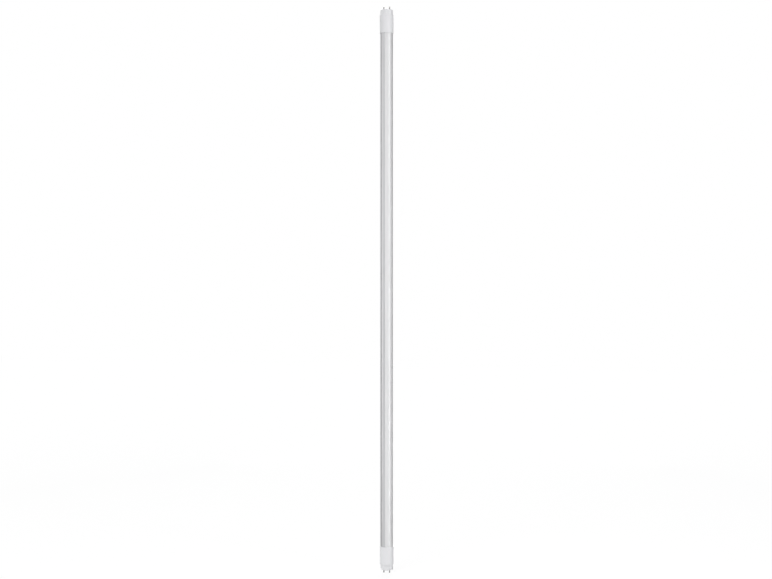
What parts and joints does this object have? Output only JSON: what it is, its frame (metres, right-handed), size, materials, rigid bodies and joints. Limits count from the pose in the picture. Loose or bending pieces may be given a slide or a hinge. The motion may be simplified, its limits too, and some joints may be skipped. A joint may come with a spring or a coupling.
{
  "type": "led light tube",
  "caption": "Tubular LED lamp with a frosted front, finned aluminium back and two-pin end caps whose noses turn to aim the light.",
  "frame": {"origin": "middle of the tube's axis, half-way between the ends of the contact pins", "axes": "+Z along the tube towards the end that holds the driver, +X the way the light leaves, +Y completes the frame"},
  "size_m": [0.0294, 0.0294, 1.2136],
  "materials": {
    "anodised_aluminium": "satin anodised extrusion with fine lengthwise lines",
    "frosted_cover": "frosted milky polycarbonate, satin",
    "cap_plastic": "light grey moulded polycarbonate, fine texture",
    "plated_pin": "nickel-plated brass",
    "zinc_screw": "zinc-plated steel",
    "thermal_tape": "soft matte",
    "white_board": "white solder mask over aluminium",
    "led_frame": "moulded white resin",
    "led_phosphor": "yellow phosphor in silicone",
    "driver_laminate": "green glass-fibre laminate",
    "insulating_film": "dark grey polyester film",
    "black_epoxy": "moulded epoxy",
    "resistor_lacquer": "lacquered ceramic",
    "varistor_lacquer": "dipped epoxy",
    "ferrite": "sintered ferrite",
    "copper_winding": "enamelled copper wire",
    "film_capacitor_box": "moulded box",
    "capacitor_sleeve": "shrunk plastic sleeve over aluminium",
    "transformer_tape": "polyester tape over copper",
    "brown_insulation": "silicone insulation",
    "blue_insulation": "silicone insulation",
    "red_insulation": "silicone insulation",
    "black_insulation": "silicone insulation"
  },
  "bodies": {
    "tube": {"heat_sink": "anodised_aluminium", "diffuser_cover": "frosted_cover", "thermal_tape": "thermal_tape", "light_board": "white_board", "led_packages": "led_frame", "led_windows": "led_phosphor", "upper_sleeve": "cap_plastic", "lower_sleeve": "cap_plastic", "upper_screws": "zinc_screw", "lower_screws": "zinc_screw", "driver_board": "driver_laminate", "driver_film": "insulating_film", "fuse_resistor": "resistor_lacquer", "varistor": "varistor_lacquer", "input_choke_core": "ferrite", "input_choke_winding": "copper_winding", "bridge_rectifier": "black_epoxy", "film_capacitor": "film_capacitor_box", "input_capacitor": "capacitor_sleeve", "control_chip": "black_epoxy", "chip_resistors": "black_epoxy", "power_transistor": "black_epoxy", "transformer_core": "ferrite", "transformer_winding": "transformer_tape", "output_diode": "black_epoxy", "output_capacitor": "capacitor_sleeve", "output_choke_core": "ferrite", "output_choke_winding": "copper_winding", "upper_front_lead": "brown_insulation", "upper_rear_lead": "brown_insulation", "lower_front_lead": "blue_insulation", "lower_rear_lead": "blue_insulation", "positive_lead": "red_insulation", "negative_lead": "black_insulation", "return_lead": "blue_insulation"},
    "upper_nose": {"upper_nose": "cap_plastic", "upper_front_pin": "plated_pin", "upper_rear_pin": "plated_pin"},
    "lower_nose": {"lower_nose": "cap_plastic", "lower_front_pin": "plated_pin", "lower_rear_pin": "plated_pin"}
  },
  "joints": [
    {"name": "upper_cap_turn", "type": "hinge", "parent": "tube", "child": "upper_nose", "pos_m": [0, 0, 0.5875], "axis": [0, 0, 1], "range_deg": [-90, 90], "deforming": ["upper_front_lead", "upper_rear_lead"]},
    {"name": "lower_cap_turn", "type": "hinge", "parent": "tube", "child": "lower_nose", "pos_m": [0, 0, -0.5875], "axis": [0, 0, 1], "range_deg": [-90, 90], "deforming": ["lower_front_lead", "lower_rear_lead"]}
  ]
}
